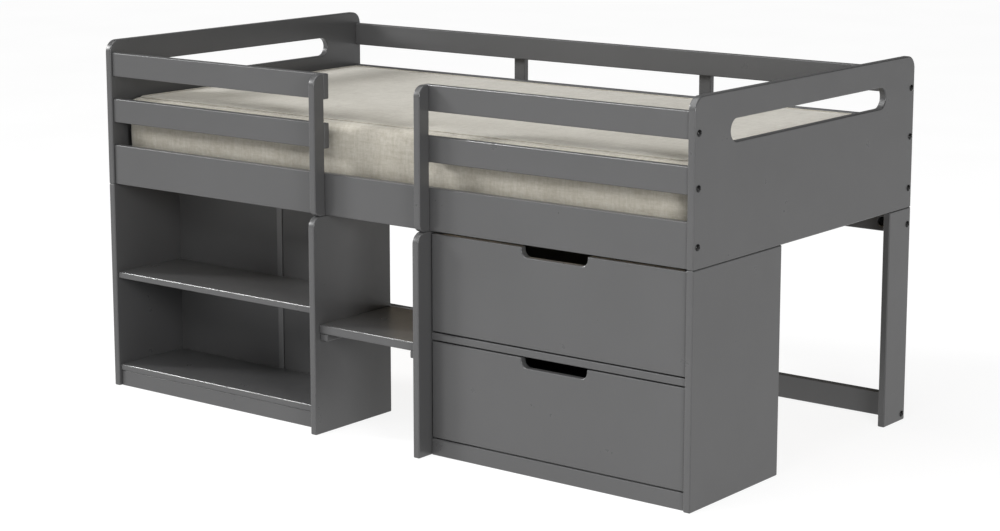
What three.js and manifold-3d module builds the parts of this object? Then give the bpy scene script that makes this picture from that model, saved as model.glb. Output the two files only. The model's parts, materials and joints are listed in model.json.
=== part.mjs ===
// Mid-height loft bed with guard rails, a low bookshelf, a step and a two-drawer chest below.
// Millimetres, +Z up. X runs along the bed, the open front faces -Y, and the origin is on the
// floor under the middle of the whole bed.
import * as THREE from 'three';
import { mergeVertices } from 'three/addons/utils/BufferGeometryUtils.js';
import Module from 'manifold-3d';

const wasm = await Module();
wasm.setup();

// Overall sizes
const HALF_LENGTH = 1000;
const BOARD = 20; // thickness of every solid board
const SHELF = 18; // thickness of the bookshelf's shelves
const FRONT = -519; // front face of the front rail and slats
const REAR = 547; // rear face of the rear rail and slats
const END_OVERHANG = 6; // how far the end panels stand past the rails, front and rear
const BASE_TOP = 596; // top of the lower units, where the bed itself starts
const INNER = HALF_LENGTH - BOARD;

// Bed sides
const RAIL_TOP = 710;
const LOWER_SLAT = [775, 843];
const UPPER_SLAT = [907, 975];
const PANEL_TOP = 1010;
const PANEL_CORNER = 35;
const SLOT_Y = [-367, 396];
const SLOT_Z = [884, 940];

// Way in, and the boards on edge on both sides of it
const ENTRY = 340;
const POST_DEPTH = 40;
const LADDER_DEPTH = 48;
const POST_CORNER = 30;
const POST_FOOT_CORNER = 22;
const REAR_POST_WIDTH = 40;
const REAR_POST_X = 334;
const REAR_POST_DROP = 6; // the rear posts end this far below the upper slat's top edge

// Mattress and its slats
const LEDGER = 25;
const LEDGER_TOP = 665;
const LEDGER_END_GAP = 30; // between the ledgers' ends and the end panels
const SLAT_COUNT = 14;
const SLAT_WIDTH = 70;
const SLAT_THICK = 14;
const SLAT_END_GAP = 3; // between the slats' ends and the side rails
const STRAP = { width: 30, thick: 2, lift: 2, inset: 110, endGap: 40 };
const MATTRESS = { length: 1922, width: 1006, bottom: 680, top: 848, corner: 14, edge: 12 };

// Bookshelf
const BOOK_DEPTH = 265;
const BOOK_BACK_FACE = 252;
const BACK_BOARD = 4;
const BACK_TOP_GAP = 2; // thin backs end this far below the bed
const BACK_SEAM_X = -574; // where the two halves of the bookshelf's back meet
const SHELF_REAR_GAP = 3;
const KICK_HEIGHT = 46;
const MIDDLE_SHELF_Z = 320;
const JOINER = { width: 20, lip: 2.5, web: 3, reach: 0.5 }; // H-shaped strip between the back's halves

// Step
const STEP_Z = [279, 303];
const STEP_FRONT = 30;
const CLEAT = { width: 26, height: 20, endGap: 2 };

// Chest and drawers
const CHEST_X = [ENTRY / 2 + BOARD, INNER];
const CHEST_DEPTH = 398;
const CHEST_BACK_INSET = 12;
const PLINTH_TOP = 45;
const DIVIDER_Z = [309, 329];
const SETBACK = 3; // drawer fronts stand this far behind the rail's face
const DRAWER_GAP = 3;
const UPPER_FRONT_TOP = 590;
const DRAWER_SIDE = 12;
const DRAWER_DEPTH = 350;
const DRAWER_LIFT = 1; // under the drawer sides, above the runners
const DRAWER_HEADROOM = 3; // above the drawer sides
const DRAWER_BOTTOM = 6;
const BOTTOM_GROOVE = 8; // from a drawer side's lower edge up to the bottom
const GRIP = { width: 203, depth: 26, radius: 19 };
const RUNNER_WIDTH = 22;

// Rear legs and stretchers
const LEG_WIDTH = 115;
const LOW_STRETCHER = [5, 73];
const HIGH_STRETCHER = [524, 592];
const POCKET = { fromEnd: 52, z: 551, diameter: 26, depth: 12 };

// Furniture bolts: a domed head outside the end panel and a shank into the rail. On each end two
// go into the side rails and one into the upper stretcher, at these [Y, Z].
const BOLT = { head: 17.5, rim: 0.7, rise: 4, shank: 6, length: 60, hole: 7 };
const BOLTS = {
  front_rail: [FRONT + 12, 650],
  rear_rail: [REAR - 10, 650],
  stretcher: [REAR - 10, 550],
};

// How far a cutting tool reaches past the face that it cuts
const PAST = 5;

const PAINT = 0x6a6b6d;
const paint = () => new THREE.MeshStandardMaterial({ color: PAINT, roughness: 0.45, metalness: 0 });
const linen = () => new THREE.MeshStandardMaterial({ color: 0xcdc8bd, roughness: 0.95, metalness: 0 });
const ply = () => new THREE.MeshStandardMaterial({ color: 0x5c5d5f, roughness: 0.6, metalness: 0 });
const pine = () => new THREE.MeshStandardMaterial({ color: 0xc9ac7c, roughness: 0.75, metalness: 0 });
const black = () => new THREE.MeshStandardMaterial({ color: 0x161617, roughness: 0.35, metalness: 0.8 });

const bed = new THREE.Group();

function add(name, geometry, material) {
  const mesh = new THREE.Mesh(geometry, material);
  mesh.name = name;
  bed.add(mesh);
}

// A plain board from its lowest to its highest corner.
function board([x0, x1], [y0, y1], [z0, z1]) {
  const geometry = new THREE.BoxGeometry(x1 - x0, y1 - y0, z1 - z0);
  geometry.translate((x0 + x1) / 2, (y0 + y1) / 2, (z0 + z1) / 2);
  return geometry;
}

// An outline in (Y, Z) made into a board that runs from x0 to x1.
function panelAcrossX(outline, x0, x1) {
  const geometry = new THREE.ExtrudeGeometry(outline, {
    depth: x1 - x0, bevelEnabled: false, curveSegments: 10,
  });
  geometry.rotateX(Math.PI / 2);
  geometry.rotateZ(Math.PI / 2);
  geometry.translate(x0, 0, 0);
  return geometry;
}

// A rectangle with its own radius at each corner, in the order
// low-low, high-low, high-high, low-high.
function roundedOutline([a0, a1], [b0, b1], [r0, r1, r2, r3], Kind = THREE.Shape) {
  const outline = new Kind();
  outline.moveTo(a0 + r0, b0);
  outline.lineTo(a1 - r1, b0);
  if (r1) outline.absarc(a1 - r1, b0 + r1, r1, -Math.PI / 2, 0);
  outline.lineTo(a1, b1 - r2);
  if (r2) outline.absarc(a1 - r2, b1 - r2, r2, 0, Math.PI / 2);
  outline.lineTo(a0 + r3, b1);
  if (r3) outline.absarc(a0 + r3, b1 - r3, r3, Math.PI / 2, Math.PI);
  outline.lineTo(a0, b0 + r0);
  if (r0) outline.absarc(a0 + r0, b0 + r0, r0, Math.PI, 1.5 * Math.PI);
  return outline;
}

function toSolid(geometry) {
  const bare = geometry.clone();
  bare.deleteAttribute('normal');
  bare.deleteAttribute('uv');
  const merged = mergeVertices(bare, 1e-4);
  return new wasm.Manifold(new wasm.Mesh({
    numProp: 3,
    vertProperties: new Float32Array(merged.attributes.position.array),
    triVerts: new Uint32Array(merged.index.array),
  }));
}

function toGeometry(solid) {
  const mesh = solid.getMesh();
  const geometry = new THREE.BufferGeometry();
  geometry.setAttribute('position', new THREE.BufferAttribute(new Float32Array(mesh.vertProperties), 3));
  geometry.setIndex(new THREE.BufferAttribute(new Uint32Array(mesh.triVerts), 1));
  geometry.computeVertexNormals();
  return geometry;
}

function cut(geometry, tools) {
  return toGeometry(tools.reduce((solid, tool) => solid.subtract(toSolid(tool)), toSolid(geometry)));
}

function join(geometries) {
  return toGeometry(geometries.map(toSolid).reduce((all, next) => all.add(next)));
}

// A round bar along X or Y, for holes.
function rod(diameter, axis, from, to, [a, b]) {
  const geometry = new THREE.CylinderGeometry(diameter / 2, diameter / 2, to - from, 20);
  const middle = (from + to) / 2;
  if (axis === 'x') {
    geometry.rotateZ(Math.PI / 2);
    geometry.translate(middle, a, b);
  } else {
    geometry.translate(a, middle, b);
  }
  return geometry;
}

// Clearance holes for the named bolts of one end, a little deeper than the bolts are long.
function boltHoles(names, side) {
  const ends = [side * (HALF_LENGTH + PAST), side * (HALF_LENGTH - BOLT.length - PAST)];
  return names.map((name) => rod(BOLT.hole, 'x', Math.min(...ends), Math.max(...ends), BOLTS[name]));
}

function bolt(side, [y, z]) {
  const headRadius = BOLT.head / 2;
  const profile = [new THREE.Vector2(0, -BOLT.length), new THREE.Vector2(BOLT.shank / 2, -BOLT.length)];
  profile.push(new THREE.Vector2(BOLT.shank / 2, 0), new THREE.Vector2(headRadius, 0));
  const steps = 4;
  for (let i = 0; i <= steps; i += 1) {
    const turn = (i / steps) * (Math.PI / 2);
    const height = BOLT.rim + (BOLT.rise - BOLT.rim) * Math.sin(turn);
    profile.push(new THREE.Vector2(headRadius * Math.cos(turn), height));
  }
  const geometry = new THREE.LatheGeometry(profile, 20);
  geometry.rotateZ(side > 0 ? -Math.PI / 2 : Math.PI / 2);
  geometry.translate(side * HALF_LENGTH, y, z);
  return geometry;
}

// Headboard and footboard, each with a long hand slot.
function endPanels() {
  const y = [FRONT - END_OVERHANG, REAR + END_OVERHANG];
  for (const [name, side] of [['headboard', -1], ['footboard', 1]]) {
    const outline = roundedOutline(y, [BASE_TOP, PANEL_TOP], [0, 0, PANEL_CORNER, PANEL_CORNER]);
    const slotRadius = (SLOT_Z[1] - SLOT_Z[0]) / 2;
    outline.holes.push(roundedOutline(SLOT_Y, SLOT_Z, Array(4).fill(slotRadius), THREE.Path));
    const x = side > 0 ? INNER : -HALF_LENGTH;
    const panel = panelAcrossX(outline, x, x + BOARD);
    add(name, cut(panel, boltHoles(['front_rail', 'rear_rail'], side)), paint());
  }
}

function sideRails() {
  const z = [BASE_TOP, RAIL_TOP];
  const holes = (name) => [...boltHoles([name], -1), ...boltHoles([name], 1)];
  const front = board([-INNER, INNER], [FRONT, FRONT + BOARD], z);
  const rear = board([-INNER, INNER], [REAR - BOARD, REAR], z);
  add('front_side_rail', cut(front, holes('front_rail')), paint());
  add('rear_side_rail', cut(rear, holes('rear_rail')), paint());
}

// Guard slats: two pairs in front, on both sides of the way in, and two along the whole rear.
function guardSlats() {
  const postOuter = ENTRY / 2;
  const rows = { lower: LOWER_SLAT, upper: UPPER_SLAT };
  for (const [row, z] of Object.entries(rows)) {
    const y = [FRONT, FRONT + BOARD];
    add(`front_left_${row}_slat`, board([-INNER, -postOuter], y, z), paint());
    add(`front_right_${row}_slat`, board([postOuter, INNER], y, z), paint());
    add(`rear_${row}_slat`, board([-INNER, INNER], [REAR - BOARD, REAR], z), paint());
  }
}

function guardPosts() {
  const z = [BASE_TOP, UPPER_SLAT[1]];
  const outline = roundedOutline([FRONT - POST_DEPTH, FRONT], z, [POST_FOOT_CORNER, 0, 0, POST_CORNER]);
  for (const [name, side] of [['left', -1], ['right', 1]]) {
    const near = side * ENTRY / 2;
    const x = side > 0 ? near : near - BOARD;
    add(`front_${name}_post`, panelAcrossX(outline, x, x + BOARD), paint());
    const middle = side * REAR_POST_X;
    const rearX = [middle - REAR_POST_WIDTH / 2, middle + REAR_POST_WIDTH / 2];
    const rearZ = [BASE_TOP, UPPER_SLAT[1] - REAR_POST_DROP];
    add(`rear_${name}_post`, board(rearX, [REAR, REAR + BOARD], rearZ), paint());
  }
}

// Ledgers inside both rails carry a roll of slats held together by two webbing straps.
function mattressBase() {
  const ledgerX = [-INNER + LEDGER_END_GAP, INNER - LEDGER_END_GAP];
  const ledgerZ = [LEDGER_TOP - LEDGER, LEDGER_TOP];
  const inFront = FRONT + BOARD;
  const inRear = REAR - BOARD;
  add('front_ledger', board(ledgerX, [inFront, inFront + LEDGER], ledgerZ), pine());
  add('rear_ledger', board(ledgerX, [inRear - LEDGER, inRear], ledgerZ), pine());
  const slatY = [inFront + SLAT_END_GAP, inRear - SLAT_END_GAP];
  const slatZ = [LEDGER_TOP, LEDGER_TOP + SLAT_THICK];
  const pitch = (ledgerX[1] - ledgerX[0] - SLAT_WIDTH) / (SLAT_COUNT - 1);
  const pieces = [];
  for (let i = 0; i < SLAT_COUNT; i += 1) {
    const x0 = ledgerX[0] + i * pitch;
    pieces.push(board([x0, x0 + SLAT_WIDTH], slatY, slatZ));
  }
  const strapX = [-INNER + STRAP.endGap, INNER - STRAP.endGap];
  const strapZ = [LEDGER_TOP + STRAP.lift, LEDGER_TOP + STRAP.lift + STRAP.thick];
  for (const y of [slatY[0] + STRAP.inset, slatY[1] - STRAP.inset - STRAP.width]) {
    pieces.push(board(strapX, [y, y + STRAP.width], strapZ));
  }
  add('slat_base', join(pieces), pine());
}

function mattress() {
  const { length, width, bottom, top, corner, edge } = MATTRESS;
  const middleY = (FRONT + REAR) / 2;
  const outline = roundedOutline(
    [-length / 2 + edge, length / 2 - edge],
    [middleY - width / 2 + edge, middleY + width / 2 - edge],
    Array(4).fill(corner),
  );
  const geometry = new THREE.ExtrudeGeometry(outline, {
    depth: top - bottom - 2 * edge, bevelEnabled: true, bevelThickness: edge, bevelSize: edge,
    bevelSegments: 4, curveSegments: 6,
  });
  geometry.translate(0, 0, bottom + edge);
  add('mattress', geometry, linen());
}

function bookshelf() {
  const inLeft = -INNER;
  const inRight = -ENTRY / 2 - BOARD;
  const rear = FRONT + BOOK_DEPTH;
  const sideY = [FRONT - END_OVERHANG, rear];
  add('bookshelf_left_side', board([-HALF_LENGTH, inLeft], sideY, [0, BASE_TOP]), paint());
  const ladder = roundedOutline([FRONT - LADDER_DEPTH, rear], [0, BASE_TOP], [0, 0, 0, POST_CORNER]);
  add('bookshelf_right_side', panelAcrossX(ladder, inRight, inRight + BOARD), paint());
  const back = FRONT + BOOK_BACK_FACE;
  const shelfY = [FRONT, back - SHELF_REAR_GAP];
  const x = [inLeft, inRight];
  add('bookshelf_bottom_shelf', board(x, shelfY, [KICK_HEIGHT, KICK_HEIGHT + SHELF]), paint());
  add('bookshelf_middle_shelf', board(x, shelfY, [MIDDLE_SHELF_Z, MIDDLE_SHELF_Z + SHELF]), paint());
  const kickY = [FRONT + SETBACK, FRONT + SETBACK + SHELF];
  add('bookshelf_toe_kick', board(x, kickY, [0, KICK_HEIGHT]), paint());
  const backY = [back, back + BACK_BOARD];
  const backZ = [KICK_HEIGHT, BASE_TOP - BACK_TOP_GAP];
  const web = [BACK_SEAM_X - JOINER.web / 2, BACK_SEAM_X + JOINER.web / 2];
  const lip = [BACK_SEAM_X - JOINER.width / 2, BACK_SEAM_X + JOINER.width / 2];
  add('bookshelf_back_left', board([inLeft, web[0] - JOINER.reach], backY, backZ), ply());
  add('bookshelf_back_right', board([web[1] + JOINER.reach, inRight], backY, backZ), ply());
  add('bookshelf_back_joiner', join([
    board(lip, [backY[0] - JOINER.lip, backY[0]], backZ),
    board(web, [backY[0] - JOINER.reach, backY[1] + JOINER.reach], backZ),
    board(lip, [backY[1], backY[1] + JOINER.lip], backZ),
  ]), ply());
}

function step() {
  const x = [-ENTRY / 2, ENTRY / 2];
  const rear = FRONT + BOOK_DEPTH;
  add('step_board', board(x, [FRONT - STEP_FRONT, rear], STEP_Z), paint());
  const cleatY = [FRONT - STEP_FRONT + CLEAT.endGap, rear - CLEAT.endGap];
  const cleatZ = [STEP_Z[0] - CLEAT.height, STEP_Z[0]];
  add('step_left_cleat', board([x[0], x[0] + CLEAT.width], cleatY, cleatZ), paint());
  add('step_right_cleat', board([x[1] - CLEAT.width, x[1]], cleatY, cleatZ), paint());
}

function chest() {
  const rear = FRONT + CHEST_DEPTH;
  const ladder = roundedOutline([FRONT - LADDER_DEPTH, rear], [0, BASE_TOP], [0, 0, 0, POST_CORNER]);
  add('chest_left_side', panelAcrossX(ladder, ENTRY / 2, CHEST_X[0]), paint());
  const sideY = [FRONT - END_OVERHANG, rear];
  add('chest_right_side', board([INNER, HALF_LENGTH], sideY, [0, BASE_TOP]), paint());
  const front = FRONT + SETBACK;
  add('chest_plinth', board(CHEST_X, [front, front + BOARD], [0, PLINTH_TOP]), paint());
  add('chest_divider_rail', board(CHEST_X, [front, front + BOARD], DIVIDER_Z), paint());
  const backY = [rear - CHEST_BACK_INSET, rear - CHEST_BACK_INSET + BACK_BOARD];
  add('chest_back_panel', board(CHEST_X, backY, [PLINTH_TOP, BASE_TOP - BACK_TOP_GAP]), ply());
  // The drawers slide on battens and are kept from tipping by the battens above them.
  const levels = { lower: PLINTH_TOP - BOARD, middle: DIVIDER_Z[0], upper: BASE_TOP - BOARD };
  for (const [level, z] of Object.entries(levels)) {
    const y = [front + BOARD, backY[0]];
    const runnerZ = [z, z + BOARD];
    add(`${level}_left_runner`, board([CHEST_X[0], CHEST_X[0] + RUNNER_WIDTH], y, runnerZ), ply());
    add(`${level}_right_runner`, board([CHEST_X[1] - RUNNER_WIDTH, CHEST_X[1]], y, runnerZ), ply());
  }
}

// A drawer: a front with a grip cut into its top edge, two sides, a back and a bottom.
function drawer(name, frontZ, sideZ) {
  const x = [CHEST_X[0] + DRAWER_GAP, CHEST_X[1] - DRAWER_GAP];
  const y0 = FRONT + SETBACK;
  const y1 = y0 + BOARD;
  const y2 = y1 + DRAWER_DEPTH;
  const inner = [x[0] + DRAWER_SIDE, x[1] - DRAWER_SIDE];
  const middle = (x[0] + x[1]) / 2;
  const gripX = [middle - GRIP.width / 2, middle + GRIP.width / 2];
  const gripZ = [frontZ[1] - GRIP.depth, frontZ[1] + GRIP.radius + PAST];
  const grip = new THREE.ExtrudeGeometry(
    roundedOutline(gripX, gripZ, [GRIP.radius, GRIP.radius, 0, 0]),
    { depth: BOARD + 2 * PAST, bevelEnabled: false, curveSegments: 8 },
  );
  grip.rotateX(Math.PI / 2);
  grip.translate(0, y1 + PAST, 0);
  add(`${name}_drawer_front`, cut(board(x, [y0, y1], frontZ), [grip]), paint());
  add(`${name}_drawer_left_side`, board([x[0], inner[0]], [y1, y2], sideZ), ply());
  add(`${name}_drawer_right_side`, board([inner[1], x[1]], [y1, y2], sideZ), ply());
  add(`${name}_drawer_back`, board(inner, [y2 - DRAWER_SIDE, y2], sideZ), ply());
  const bottomZ = [sideZ[0] + BOTTOM_GROOVE, sideZ[0] + BOTTOM_GROOVE + DRAWER_BOTTOM];
  add(`${name}_drawer_bottom`, board(inner, [y1, y2 - DRAWER_SIDE], bottomZ), ply());
}

function drawers() {
  const sides = (low, high) => [low + DRAWER_LIFT, high - DRAWER_HEADROOM];
  const lowerFront = [PLINTH_TOP + DRAWER_GAP, DIVIDER_Z[0] - DRAWER_GAP];
  drawer('lower', lowerFront, sides(PLINTH_TOP, DIVIDER_Z[0]));
  drawer('upper', [DIVIDER_Z[1] + DRAWER_GAP, UPPER_FRONT_TOP], sides(DIVIDER_Z[1], BASE_TOP - BOARD));
}

// Two legs carry the rear corners, tied together by two stretchers. A round pocket in the upper
// stretcher gives the bolt's nut its place.
function rearLegs() {
  const y = [REAR + END_OVERHANG - LEG_WIDTH, REAR + END_OVERHANG];
  for (const [name, side] of [['left', -1], ['right', 1]]) {
    const x = side > 0 ? [INNER, HALF_LENGTH] : [-HALF_LENGTH, -INNER];
    add(`rear_${name}_leg`, cut(board(x, y, [0, BASE_TOP]), boltHoles(['stretcher'], side)), paint());
  }
  const stretcherY = [REAR - BOARD, REAR];
  add('rear_lower_stretcher', board([-INNER, INNER], stretcherY, LOW_STRETCHER), paint());
  const pocketX = INNER - POCKET.fromEnd;
  const pocketY = [stretcherY[0] - PAST, stretcherY[0] + POCKET.depth];
  const cuts = [-1, 1].flatMap((side) => [
    ...boltHoles(['stretcher'], side),
    rod(POCKET.diameter, 'y', ...pocketY, [side * pocketX, POCKET.z]),
  ]);
  add('rear_upper_stretcher', cut(board([-INNER, INNER], stretcherY, HIGH_STRETCHER), cuts), paint());
}

function bolts() {
  for (const [end, side] of [['head', -1], ['foot', 1]]) {
    for (const [name, place] of Object.entries(BOLTS)) {
      add(`${end}_${name}_bolt`, bolt(side, place), black());
    }
  }
}

endPanels();
sideRails();
guardSlats();
guardPosts();
mattressBase();
mattress();
bookshelf();
step();
chest();
drawers();
rearLegs();
bolts();

export default bed;
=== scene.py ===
# Loft bed over a bookshelf, a step and a drawer chest, dressed for the studio.
import json
import math

import bmesh
import bpy
from mathutils import Matrix, Vector


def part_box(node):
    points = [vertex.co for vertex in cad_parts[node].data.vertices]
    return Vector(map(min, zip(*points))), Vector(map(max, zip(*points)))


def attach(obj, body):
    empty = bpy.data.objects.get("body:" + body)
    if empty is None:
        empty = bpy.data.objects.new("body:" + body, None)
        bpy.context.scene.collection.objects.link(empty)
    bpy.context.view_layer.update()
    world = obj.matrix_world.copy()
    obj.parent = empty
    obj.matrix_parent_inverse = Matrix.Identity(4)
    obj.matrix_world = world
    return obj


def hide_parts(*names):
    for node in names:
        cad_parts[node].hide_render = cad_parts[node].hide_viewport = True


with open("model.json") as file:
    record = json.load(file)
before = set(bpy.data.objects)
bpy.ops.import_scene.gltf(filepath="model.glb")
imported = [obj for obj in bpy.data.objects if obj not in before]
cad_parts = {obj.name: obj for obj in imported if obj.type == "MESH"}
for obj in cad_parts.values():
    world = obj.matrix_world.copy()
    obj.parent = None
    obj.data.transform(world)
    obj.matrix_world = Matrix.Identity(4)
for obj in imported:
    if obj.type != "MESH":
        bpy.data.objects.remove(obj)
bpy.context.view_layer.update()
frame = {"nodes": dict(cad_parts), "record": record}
FRAME_BODY = "bed_frame"

# Camera: its place in metres, its angles in degrees, its lens and sensor in millimetres
CAMERA_PLACE = (3.9358, -5.0516, 1.7299)
CAMERA_TURN = 37.81
CAMERA_PITCH = 10.043
CAMERA_LENS = 83.81
CAMERA_SENSOR = 36.0
CAMERA_SHIFT = -0.07

# Softened edges
ARRIS = 0.0032
FINE_ARRIS = 0.001
THIN_ARRIS = 0.0005
ARRIS_SEGMENTS = 3
ARRIS_FROM = math.radians(40)
FLAT_WITHIN = math.radians(1.0)


# ---------------------------------------------------------------- material helpers

class Nodes:
    """A short way to write one material's node tree."""

    def __init__(self, name):
        self.material = bpy.data.materials.new(name)
        self.material.use_nodes = True
        self.tree = self.material.node_tree
        self.shader = self.tree.nodes["Principled BSDF"]
        self.place = self.new("ShaderNodeTexCoord").outputs["Object"]

    def new(self, kind, **settings):
        node = self.tree.nodes.new(kind)
        for key, value in settings.items():
            setattr(node, key, value)
        return node

    def link(self, source, target):
        self.tree.links.new(source, target)

    def stretched(self, scale, turn=(0, 0, 0)):
        node = self.new("ShaderNodeMapping")
        node.inputs["Scale"].default_value = scale
        node.inputs["Rotation"].default_value = turn
        self.link(self.place, node.inputs["Vector"])
        return node.outputs["Vector"]

    def noise(self, scale, detail=3.0, roughness=0.5, stretch=(1, 1, 1)):
        node = self.new("ShaderNodeTexNoise")
        node.inputs["Scale"].default_value = scale
        node.inputs["Detail"].default_value = detail
        node.inputs["Roughness"].default_value = roughness
        self.link(self.stretched(stretch), node.inputs["Vector"])
        return node.outputs["Fac"]

    def ramp(self, value, stops):
        node = self.new("ShaderNodeValToRGB")
        ramp = node.color_ramp
        while len(ramp.elements) < len(stops):
            ramp.elements.new(0.5)
        for element, (position, colour) in zip(ramp.elements, stops):
            element.position = position
            element.color = (*colour, 1.0)
        self.link(value, node.inputs["Fac"])
        return node.outputs["Color"]

    def spread(self, value, low, high, start=0.0, end=1.0):
        node = self.new("ShaderNodeMapRange")
        settings = {"From Min": start, "From Max": end, "To Min": low, "To Max": high}
        for key, number in settings.items():
            node.inputs[key].default_value = number
        self.link(value, node.inputs["Value"])
        return node.outputs["Result"]

    def maths(self, operation, first, second):
        node = self.new("ShaderNodeMath", operation=operation)
        for socket, value in zip(node.inputs, (first, second)):
            if isinstance(value, (int, float)):
                socket.default_value = value
            else:
                self.link(value, socket)
        return node.outputs["Value"]

    def weighted(self, *parts):
        """The sum of (value, share) parts."""
        total = None
        for value, share in parts:
            portion = self.maths("MULTIPLY", value, share)
            total = portion if total is None else self.maths("ADD", total, portion)
        return total

    def mixed(self, factor, first, second, blend="MIX"):
        node = self.new("ShaderNodeMix", data_type="RGBA", blend_type=blend)
        for key, value in (("Factor", factor), ("A", first), ("B", second)):
            socket = node.inputs[key]
            if isinstance(value, (int, float)):
                socket.default_value = value
            elif isinstance(value, tuple):
                socket.default_value = (*value, 1.0)
            else:
                self.link(value, socket)
        return node.outputs["Result"]

    def bump(self, *layers):
        """Stacks bumps: each layer is (height, strength, distance in metres)."""
        below = None
        for height, strength, distance in layers:
            node = self.new("ShaderNodeBump")
            node.inputs["Strength"].default_value = strength
            node.inputs["Distance"].default_value = distance
            self.link(height, node.inputs["Height"])
            if below:
                self.link(below, node.inputs["Normal"])
            below = node.outputs["Normal"]
        self.link(below, self.shader.inputs["Normal"])

    def finish(self, colour=None, roughness=None, **constants):
        if colour is not None:
            self.link(colour, self.shader.inputs["Base Color"])
        if roughness is not None:
            self.link(roughness, self.shader.inputs["Roughness"])
        for key, value in constants.items():
            self.shader.inputs[key.replace("_", " ")].default_value = value
        return self.material


GLOSS_SPREAD = 0.07


def satin_paint(name, dark, light, gloss):
    """Sprayed satin paint on board: faint clouding, a slow swell and fine orange peel."""
    n = Nodes(name)
    clouds = n.noise(3.0, detail=4.0, roughness=0.6)
    speckle = n.noise(420.0, detail=2.0)
    colour = n.ramp(n.weighted((clouds, 0.75), (speckle, 0.25)), [(0.3, dark), (0.7, light)])
    patches = n.noise(14.0, detail=5.0, roughness=0.65)
    roughness = n.spread(patches, gloss - GLOSS_SPREAD, gloss + GLOSS_SPREAD)
    peel = n.noise(650.0, detail=2.0, roughness=0.4)
    swell = n.noise(45.0, detail=2.0)
    n.bump((swell, 0.03, 0.0015), (peel, 0.05, 0.0003))
    return n.finish(colour, roughness, IOR=1.5)


PINE_DARK = (0.63, 0.45, 0.24)
PINE_MIDDLE = (0.72, 0.55, 0.33)
PINE_PALE = (0.80, 0.66, 0.44)


def bare_pine(name, axis):
    """Planed pine whose grain runs along one axis."""
    n = Nodes(name)
    along = [1.0 if i == axis else 14.0 for i in range(3)]
    rings = n.new("ShaderNodeTexWave", wave_type="BANDS", bands_direction="DIAGONAL")
    rings.inputs["Scale"].default_value = 5.0
    rings.inputs["Distortion"].default_value = 5.0
    rings.inputs["Detail"].default_value = 3.0
    rings.inputs["Detail Scale"].default_value = 1.2
    n.link(n.stretched(along), rings.inputs["Vector"])
    drawn_out = [0.12 if i == axis else 6.0 for i in range(3)]
    fibre = n.noise(30.0, detail=6.0, roughness=0.7, stretch=drawn_out)
    figure = n.weighted((rings.outputs["Fac"], 0.55), (fibre, 0.45))
    colour = n.ramp(figure, [(0.15, PINE_DARK), (0.5, PINE_MIDDLE), (0.9, PINE_PALE)])
    n.bump((fibre, 0.25, 0.0006))
    return n.finish(colour, n.spread(fibre, 0.55, 0.75))


WAVE_PHASE = 20.0  # how fast a band texture turns at scale 1, in radians a metre
# How dark the painted shade in the weave's hollows is, as a share of the dark cloth colour
WEAVE_SHADE = 0.72


def streaks(n, scale, length, detail, roughness):
    """The mean of three noises, each drawn out along one axis, as slubby yarns are."""
    total = None
    for axis in range(3):
        stretch = [length if i == axis else 1.0 for i in range(3)]
        streak = n.noise(scale, detail=detail, roughness=roughness, stretch=stretch)
        total = streak if total is None else n.maths("ADD", total, streak)
    return n.maths("MULTIPLY", total, 1 / 3)


def linen(name, dark, light, thread):
    """Plain-woven linen-look ticking, with slubs drawn out along each of the three axes, and
    painted shade darkening the hollows of the weave.
    """
    n = Nodes(name)
    slubs = streaks(n, 330.0, 0.10, 3.0, 0.6)
    coarse = streaks(n, 105.0, 0.16, 2.0, 0.55)
    weave = None
    for direction in ("X", "Y", "Z"):
        wave = n.new("ShaderNodeTexWave", wave_type="BANDS", bands_direction=direction)
        wave.inputs["Scale"].default_value = math.pi / (WAVE_PHASE * thread)
        wave.inputs["Distortion"].default_value = 0.6
        wave.inputs["Detail"].default_value = 1.0
        wave.inputs["Detail Scale"].default_value = 0.4
        n.link(n.place, wave.inputs["Vector"])
        weave = wave.outputs["Fac"] if weave is None else n.maths("ADD", weave, wave.outputs["Fac"])
    weave = n.maths("MULTIPLY", weave, 1 / 3)
    clouds = n.noise(5.0, detail=3.0)
    tone = n.weighted((slubs, 0.35), (coarse, 0.50), (clouds, 0.15))
    colour = n.ramp(tone, [(0.42, dark), (0.58, light)])
    # The weave's hollows get a darker copy of the cloth colour: painted shade between the threads
    painted_hollow_shade = tuple(c * WEAVE_SHADE for c in dark)
    shaded = n.mixed(n.spread(weave, 0.0, 0.22), colour, painted_hollow_shade)
    n.bump((coarse, 0.4, 0.0016), (slubs, 0.5, 0.0012), (weave, 0.35, 0.0005))
    roughness = n.spread(slubs, 0.8, 0.95)
    return n.finish(shaded, roughness, Sheen_Weight=0.25, Sheen_Roughness=0.5, IOR=1.4)


ZINC_DARK = (0.003, 0.003, 0.0032)
ZINC_LIGHT = (0.007, 0.007, 0.0068)


def black_zinc(name):
    """Blackened steel hardware: slightly worn, a little glossy."""
    n = Nodes(name)
    wear = n.noise(900.0, detail=4.0, roughness=0.7)
    colour = n.ramp(wear, [(0.35, ZINC_DARK), (0.75, ZINC_LIGHT)])
    n.bump((wear, 0.10, 0.00005))
    return n.finish(colour, n.spread(wear, 0.10, 0.18), Metallic=0.0, IOR=1.35)


FLOOR_DARK = (0.14, 0.14, 0.14)
FLOOR_LIGHT = (0.16, 0.16, 0.16)
FLOOR_GLOW = 0.87


def studio_floor(name):
    """A dull floor that glows a little, as a light table does, so that shadows stay pale."""
    n = Nodes(name)
    tone = n.noise(1.5, detail=2.0)
    colour = n.ramp(tone, [(0.3, FLOOR_DARK), (0.7, FLOOR_LIGHT)])
    glow = n.shader.inputs
    glow["Emission Color"].default_value = (1, 1, 1, 1)
    glow["Emission Strength"].default_value = FLOOR_GLOW
    return n.finish(colour, n.spread(tone, 0.85, 0.95))


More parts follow.
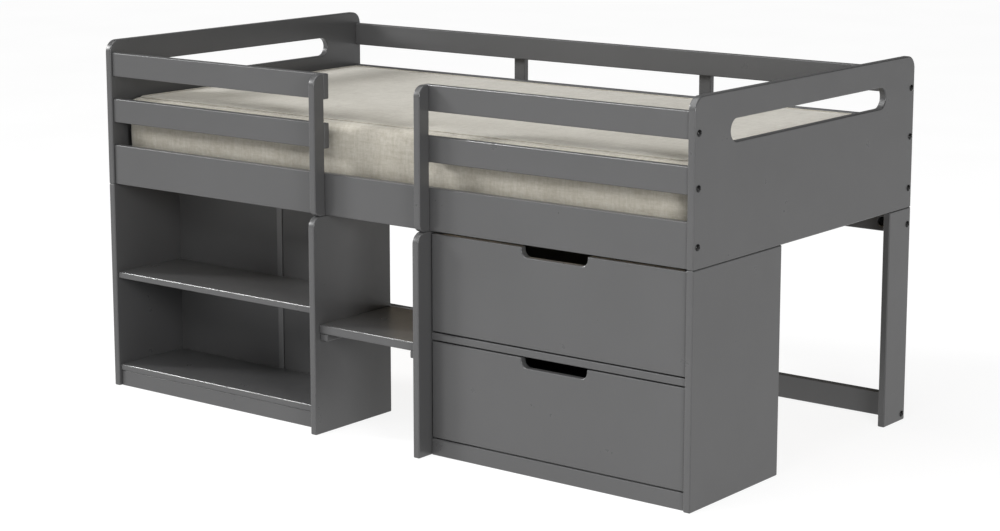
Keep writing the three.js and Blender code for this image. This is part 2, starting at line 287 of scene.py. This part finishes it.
PAINT_DARK = (0.0550, 0.0550, 0.0557)
PAINT_LIGHT = (0.0625, 0.0625, 0.0633)
MATT_DARK = (0.066, 0.066, 0.0668)
MATT_LIGHT = (0.075, 0.075, 0.0759)
JOINER_DARK = (0.108, 0.108, 0.1097)
JOINER_LIGHT = (0.121, 0.121, 0.1227)
CLOTH_DARK = (0.238, 0.221, 0.180)
CLOTH_LIGHT = (0.340, 0.321, 0.276)
COVER_THREAD = 0.0016
PIPING_THREAD = 0.0009
PAINT = satin_paint("paint_anthracite", PAINT_DARK, PAINT_LIGHT, gloss=0.30)
BACK = satin_paint("back_board_grey", MATT_DARK, MATT_LIGHT, gloss=0.55)
DRAWER_BOX = satin_paint("drawer_box_grey", MATT_DARK, MATT_LIGHT, gloss=0.55)
JOINER = satin_paint("joiner_grey", JOINER_DARK, JOINER_LIGHT, gloss=0.40)
PINE = {"x": bare_pine("pine_along_x", 0), "y": bare_pine("pine_along_y", 1)}
LINEN = linen("mattress_linen", CLOTH_DARK, CLOTH_LIGHT, COVER_THREAD)
PIPING = linen("mattress_piping", CLOTH_DARK, CLOTH_LIGHT, PIPING_THREAD)
STEEL = black_zinc("black_zinc")


# ---------------------------------------------------------------- CAD boards

def longest_axis(node):
    low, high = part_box(node)
    size = high - low
    return "x" if size.x >= size.y else "y"


def smooth_shading_group():
    """Geometry nodes that shade every face smooth, so that bevels catch one even highlight."""
    group = bpy.data.node_groups.new("smooth_shading", "GeometryNodeTree")
    for direction in ("INPUT", "OUTPUT"):
        group.interface.new_socket("Geometry", in_out=direction, socket_type="NodeSocketGeometry")
    source = group.nodes.new("NodeGroupInput")
    shade = group.nodes.new("GeometryNodeSetShadeSmooth")
    target = group.nodes.new("NodeGroupOutput")
    group.links.new(source.outputs[0], shade.inputs["Geometry"])
    group.links.new(shade.outputs["Geometry"], target.inputs[0])
    return group


SMOOTH_SHADING = smooth_shading_group()
MERGE_DISTANCE = 0.00002


def soften(obj, width):
    """Rounds a board's sharp edges with modifiers, so that its mesh stays as it is."""
    weld = obj.modifiers.new("weld", "WELD")
    weld.merge_threshold = MERGE_DISTANCE
    flat = obj.modifiers.new("flat_faces", "DECIMATE")
    flat.decimate_type = "DISSOLVE"
    flat.angle_limit = FLAT_WITHIN
    bevel = obj.modifiers.new("arris", "BEVEL")
    bevel.width = width
    bevel.segments = ARRIS_SEGMENTS
    bevel.limit_method = "ANGLE"
    bevel.angle_limit = ARRIS_FROM
    bevel.use_clamp_overlap = False
    bevel.loop_slide = False
    smooth = obj.modifiers.new("smooth_shading", "NODES")
    smooth.node_group = SMOOTH_SHADING
    normals = obj.modifiers.new("normals", "WEIGHTED_NORMAL")
    normals.weight = 100


def dress_boards():
    slots = {entry["node"]: entry["material_slot"] for entry in frame["record"]["subparts"]}
    looks = {
        "anthracite_paint": (PAINT, ARRIS),
        "back_board": (BACK, THIN_ARRIS),
        "drawer_wood": (DRAWER_BOX, FINE_ARRIS),
        "bare_wood": (None, FINE_ARRIS),
        "mattress_cloth": (LINEN, None),
        "bolt_steel": (STEEL, None),
    }
    for node, obj in frame["nodes"].items():
        material, arris = looks[slots[node]]
        if node == "bookshelf_back_joiner":
            material = JOINER
        obj.data.materials.clear()
        obj.data.materials.append(material or PINE[longest_axis(node)])
        if arris:
            soften(obj, arris)


# ---------------------------------------------------------------- mattress

MATTRESS_SHRINK = Vector((-0.010, 0.001, 0.005))
MATTRESS_EDGE = 0.009
MATTRESS_VOXEL = 0.014
MATTRESS_EDGE_SEGMENTS = 4
MATTRESS_CAP = 0.007
PUFF_PRESSURE = 4.0
PUFF_FRAMES = 20
PIPING_RADIUS = 0.0020
PIPING_INSET = 0.0045
PIPING_CORNER = 0.06
PIPING_CORNER_STEPS = 8
PIPING_STEP = 0.02
# A ray towards the mattress starts and aims at these shares of the welt's own outline
RAY_START_X = 1.08
RAY_START_Y = 1.1
RAY_AIM = 0.8


def mesh_object(name, bm, material):
    mesh = bpy.data.meshes.new(name)
    bm.normal_update()
    bm.to_mesh(mesh)
    bm.free()
    for polygon in mesh.polygons:
        polygon.use_smooth = True
    mesh.materials.append(material)
    obj = bpy.data.objects.new(name, mesh)
    bpy.context.scene.collection.objects.link(obj)
    return obj


def round_edges(bm, edges):
    bmesh.ops.bevel(
        bm, geom=edges, offset=MATTRESS_EDGE, segments=MATTRESS_EDGE_SEGMENTS,
        profile=0.5, affect="EDGES")


def mattress_form(low, high):
    """A closed block with rounded corners and edges, before the cloth puffs out."""
    bm = bmesh.new()
    bmesh.ops.create_cube(bm, size=1.0)
    size = high - low - 2 * MATTRESS_SHRINK
    bmesh.ops.transform(bm, matrix=Matrix.Diagonal((*size, 1)), verts=bm.verts)
    bmesh.ops.translate(bm, vec=(low + high) / 2, verts=bm.verts)
    upright = [e for e in bm.edges if abs(e.verts[0].co.z - e.verts[1].co.z) > 0.01]
    round_edges(bm, upright)
    round_edges(bm, [e for e in bm.edges if e.calc_face_angle(0) > 1.0])
    return bm


def apply_modifiers(obj):
    view = bpy.context.evaluated_depsgraph_get()
    mesh = bpy.data.meshes.new_from_object(obj.evaluated_get(view))
    old = obj.data
    obj.modifiers.clear()
    obj.data = mesh
    bpy.data.meshes.remove(old)


def puff(obj, cap):
    """Inflates a closed cloth form, no vertex further than cap from where it started."""
    start = [v.co.copy() for v in obj.data.vertices]
    cloth = obj.modifiers.new("cloth", "CLOTH")
    cloth.settings.use_pressure = True
    cloth.settings.uniform_pressure_force = PUFF_PRESSURE
    cloth.settings.quality = 4
    cloth.settings.mass = 0.4
    cloth.settings.tension_stiffness = 12
    cloth.settings.compression_stiffness = 12
    cloth.settings.bending_stiffness = 2.5
    cloth.settings.effector_weights.gravity = 0
    cloth.collision_settings.use_collision = False
    scene = bpy.context.scene
    cloth.point_cache.frame_end = PUFF_FRAMES
    for number in range(1, PUFF_FRAMES + 1):
        scene.frame_set(number)
    apply_modifiers(obj)
    scene.frame_set(1)
    for vertex, origin in zip(obj.data.vertices, start):
        move = vertex.co - origin
        if move.length > cap:
            vertex.co = origin + move.normalized() * cap


def make_mattress():
    low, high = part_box("mattress")
    obj = mesh_object("mattress_body", mattress_form(low, high), LINEN)
    remesh = obj.modifiers.new("remesh", "REMESH")
    remesh.mode = "VOXEL"
    remesh.voxel_size = MATTRESS_VOXEL
    apply_modifiers(obj)
    puff(obj, MATTRESS_CAP)
    smooth = obj.modifiers.new("smooth", "CORRECTIVE_SMOOTH")
    smooth.use_only_smooth = True
    smooth.iterations = 6
    fine = obj.modifiers.new("fine", "SUBSURF")
    fine.levels = 1
    fine.render_levels = 1
    apply_modifiers(obj)
    for polygon in obj.data.polygons:
        polygon.use_smooth = True
    rest_flat(obj, low.z)
    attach(obj, FRAME_BODY)
    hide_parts("mattress")
    return obj


def rest_flat(obj, floor):
    """Lifts whatever sags below the slats, so that the underside lies flat on them."""
    for vertex in obj.data.vertices:
        if vertex.co.z < floor:
            vertex.co.z = floor


def tube(name, points, radius, material, sides=8):
    """A closed loop of round cord through the points."""
    bm = bmesh.new()
    rings = []
    count = len(points)
    for i, point in enumerate(points):
        ahead = (points[(i + 1) % count] - points[i - 1]).normalized()
        out = ahead.cross(Vector((0, 0, 1))).normalized()
        up = out.cross(ahead)
        ring = []
        for k in range(sides):
            angle = 2 * math.pi * k / sides
            reach = math.cos(angle) * out + math.sin(angle) * up
            ring.append(bm.verts.new(point + radius * reach))
        rings.append(ring)
    for i in range(count):
        near, far = rings[i], rings[(i + 1) % count]
        for k in range(sides):
            bm.faces.new((near[k], near[(k + 1) % sides], far[(k + 1) % sides], far[k]))
    bmesh.ops.recalc_face_normals(bm, faces=bm.faces)
    return mesh_object(name, bm, material)


def rounded_rectangle(half_x, half_y, corner):
    """The points of a flat rectangle with rounded corners, round its middle."""
    outline = []
    for sx, sy, start in ((1, 1, 0), (-1, 1, 1), (-1, -1, 2), (1, -1, 3)):
        for k in range(PIPING_CORNER_STEPS + 1):
            angle = math.pi / 2 * (start + k / PIPING_CORNER_STEPS)
            x = sx * (half_x - corner) + corner * math.cos(angle)
            y = sy * (half_y - corner) + corner * math.sin(angle)
            outline.append(Vector((x, y, 0)))
    return outline


def make_piping(mattress):
    """Welts sewn round the mattress, one near its top edge and one near its bottom edge."""
    low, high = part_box("mattress")
    centre = (low + high) / 2
    half = (high - low) / 2
    outline = rounded_rectangle(half.x, half.y, PIPING_CORNER)
    points = []
    for here, there in zip(outline, outline[1:] + outline[:1]):
        steps = max(1, round((there - here).length / PIPING_STEP))
        points += [here.lerp(there, k / steps) for k in range(steps)]
    heights = {
        "mattress_top_piping": high.z - PIPING_INSET,
        "mattress_bottom_piping": low.z + PIPING_INSET / 2,
    }
    for name, z in heights.items():
        middle = Vector((centre.x, centre.y, z))
        path = []
        for point in points:
            outside = middle + Vector((point.x * RAY_START_X, point.y * RAY_START_Y, 0))
            inward = (middle + RAY_AIM * point - outside).normalized()
            hit, place, normal, _ = mattress.ray_cast(outside, inward)
            if hit:
                path.append(place + normal * PIPING_RADIUS * 0.5)
        welt = tube(name, path, PIPING_RADIUS, PIPING)
        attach(welt, FRAME_BODY)


# ---------------------------------------------------------------- hardware

BOLT_HEAD = 0.00875
BOLT_RISE = 0.004
BOLT_RIM = 0.0006
BOLT_SHANK = 0.003
BOLT_REACH = 0.058
BOLT_DOME = math.radians(73.8)
BOLT_DOME_RINGS = 7
SOCKET = 0.0032
SOCKET_FLOOR = SOCKET * 0.96
SOCKET_DEPTH = 0.0022
POINT = 0.0004
CRISP_FROM = math.radians(42)
SLAT_BOLT_HEIGHTS = {"upper_slat": 0.923, "lower_slat": 0.791}
LOW_STRETCHER_BOLT_HEIGHT = 0.018


def hexagon(angle, size):
    """How far a hexagon's edge is from its middle at an angle."""
    sector = math.pi / 3
    return size / math.cos((angle % sector) - sector / 2)


def revolve(name, rings, place, along, material, sides=36):
    """Sweeps rings of (radius, height) round an axis, closed at both ends.

    A ring's radius may be a function of the angle."""
    bm = bmesh.new()
    loops = []
    for radius, height in rings:
        loop = []
        for k in range(sides):
            angle = 2 * math.pi * k / sides
            reach = radius(angle) if callable(radius) else radius
            spot = (reach * math.cos(angle), reach * math.sin(angle), height)
            loop.append(bm.verts.new(spot))
        loops.append(loop)
    for near, far in zip(loops, loops[1:]):
        for k in range(sides):
            bm.faces.new((near[k], near[(k + 1) % sides], far[(k + 1) % sides], far[k]))
    bm.faces.new(list(reversed(loops[0])))
    bm.faces.new(loops[-1])
    bmesh.ops.recalc_face_normals(bm, faces=bm.faces)
    turn = Vector((0, 0, 1)).rotation_difference(Vector(along)).to_matrix().to_4x4()
    bmesh.ops.transform(bm, matrix=Matrix.Translation(place) @ turn, verts=bm.verts)
    obj = mesh_object(name, bm, material)
    crisp = obj.modifiers.new("crisp", "EDGE_SPLIT")
    crisp.split_angle = CRISP_FROM
    return obj


def socket_mouth(angle):
    return hexagon(angle, SOCKET)


def socket_floor(angle):
    return hexagon(angle, SOCKET_FLOOR)


def bolt_rings():
    """A domed head with a hexagon socket; the first two rings are its shank."""
    dome = []
    for k in range(BOLT_DOME_RINGS):
        turn = k / (BOLT_DOME_RINGS - 1) * BOLT_DOME
        height = BOLT_RIM + (BOLT_RISE - BOLT_RIM) * math.sin(turn) / math.sin(BOLT_DOME)
        dome.append((BOLT_HEAD * math.cos(turn), height))
    shank = [(BOLT_SHANK, -BOLT_REACH), (BOLT_SHANK, 0.0)]
    floor = BOLT_RISE - SOCKET_DEPTH
    socket = [(socket_mouth, BOLT_RISE), (socket_floor, floor), (POINT, floor - POINT)]
    return shank + [(BOLT_HEAD, 0.0)] + dome + socket


def middle_of(node):
    low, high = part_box(node)
    return (low + high) / 2


def make_bolts():
    rings = bolt_rings()
    spots = {}
    for column in ("front", "rear"):
        middle = middle_of(f"foot_{column}_rail_bolt")
        spots[f"{column}_rail_bolt"] = (middle.y, middle.z)
        for row, z in SLAT_BOLT_HEIGHTS.items():
            spots[f"{column}_{row}_bolt"] = (middle.y, z)
    middle = middle_of("foot_stretcher_bolt")
    spots["stretcher_bolt"] = (middle.y, middle.z)
    spots["low_stretcher_bolt"] = (middle.y, LOW_STRETCHER_BOLT_HEIGHT)
    end_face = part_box("footboard")[1].x
    for end, side in (("head", -1), ("foot", 1)):
        for spot, (y, z) in spots.items():
            name = f"{end}_{spot}"
            own = name in frame["nodes"]
            place = (side * end_face, y, z)
            shape = rings if own else rings[2:]
            bolt = revolve(name + "_seen", shape, place, (side, 0, 0), STEEL)
            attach(bolt, FRAME_BODY)
            if own:
                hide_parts(name)


# Each ring is (radius, height): a wide rim round a dished face with a small hole in it
NUT_RINGS = [
    (0.0105, 0.0), (0.0105, 0.0078), (0.0098, 0.0085), (0.0070, 0.0085),
    (0.0066, 0.0080), (0.0032, 0.0080), (0.0030, 0.0060), (POINT, 0.0058)]
NUT_FROM_END = 0.052
NUT_POCKET = 0.0118
NUT_HEIGHT = 0.551


def make_nuts():
    """The cam nuts that sit in the upper stretcher's pockets."""
    low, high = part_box("rear_upper_stretcher")
    for name, side in (("left_nut", -1), ("right_nut", 1)):
        place = (side * (high.x - NUT_FROM_END), low.y + NUT_POCKET, NUT_HEIGHT)
        nut = revolve(name, NUT_RINGS, place, (0, -1, 0), STEEL)
        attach(nut, FRAME_BODY)


# ---------------------------------------------------------------- studio

FLOOR_HALF = 30.0
FLOOR_SQUARES = 8
FLOOR_GAP = 0.0005


def make_floor():
    bm = bmesh.new()
    bmesh.ops.create_grid(bm, x_segments=FLOOR_SQUARES, y_segments=FLOOR_SQUARES, size=FLOOR_HALF)
    floor = mesh_object("studio_floor", bm, studio_floor("floor_white"))
    floor.location.z = -FLOOR_GAP


def area_light(name, place, target, size, power):
    data = bpy.data.lights.new(name, "AREA")
    data.shape = "RECTANGLE"
    data.size, data.size_y = size
    data.energy = power
    obj = bpy.data.objects.new(name, data)
    obj.location = place
    obj.rotation_euler = (Vector(target) - Vector(place)).to_track_quat("-Z", "Y").to_euler()
    bpy.context.scene.collection.objects.link(obj)


def sun_light(name, travel, strength, spread):
    data = bpy.data.lights.new(name, "SUN")
    data.energy = strength
    data.angle = math.radians(spread)
    obj = bpy.data.objects.new(name, data)
    obj.rotation_euler = Vector(travel).to_track_quat("-Z", "Y").to_euler()
    bpy.context.scene.collection.objects.link(obj)
    return obj


# The world is white to the camera and dim as a light
WORLD_LIGHT = 0.11
WORLD_SEEN = 1.0
# The boards whose front edges gleam
FRONT_EDGES = (
    "front_right_upper_slat", "front_right_lower_slat",
    "bookshelf_middle_shelf", "bookshelf_bottom_shelf", "step_board")


def make_lights():
    sun_light("key_left", (2.3, 1.1, -1.0), 3.3, 14)
    area_light("right_fill", (4.3, -2.7, 1.6), (0.6, -0.4, 0.5), (1.3, 1.1), 140)
    area_light("front_fill", (-0.3, -4.7, 4.4), (0, -0.5, 0.5), (3.6, 2.4), 150)
    area_light("overhead", (-0.4, -1.3, 4.3), (-0.4, -0.6, 0.4), (4.0, 3.4), 140)
    glow = sun_light("arris_glow", (0.69, 0.12, -0.71), 3.6, 9)
    glow.visible_diffuse = False
    shone_on = bpy.data.collections.new("front_edges")
    for node in FRONT_EDGES:
        shone_on.objects.link(frame["nodes"][node])
    glow.light_linking.receiver_collection = shone_on
    world = bpy.data.worlds.new("studio")
    world.use_nodes = True
    background = world.node_tree.nodes["Background"]
    background.inputs["Color"].default_value = (1, 1, 1, 1)
    nodes = world.node_tree.nodes
    path = nodes.new("ShaderNodeLightPath")
    strength = nodes.new("ShaderNodeMapRange")
    strength.inputs["To Min"].default_value = WORLD_LIGHT
    strength.inputs["To Max"].default_value = WORLD_SEEN
    world.node_tree.links.new(path.outputs["Is Camera Ray"], strength.inputs["Value"])
    world.node_tree.links.new(strength.outputs["Result"], background.inputs["Strength"])
    bpy.context.scene.world = world
    bpy.context.scene.view_settings.view_transform = "Standard"


def make_camera():
    data = bpy.data.cameras.new("camera")
    data.lens = CAMERA_LENS
    data.sensor_width = CAMERA_SENSOR
    data.sensor_fit = "HORIZONTAL"
    data.shift_y = CAMERA_SHIFT
    camera = bpy.data.objects.new("camera", data)
    camera.location = CAMERA_PLACE
    camera.rotation_euler = (math.radians(90 - CAMERA_PITCH), 0, math.radians(CAMERA_TURN))
    bpy.context.scene.collection.objects.link(camera)
    bpy.context.scene.camera = camera


make_camera()
dress_boards()
mattress = make_mattress()
bpy.context.view_layer.update()
make_piping(mattress)
make_bolts()
make_nuts()
make_floor()
make_lights()
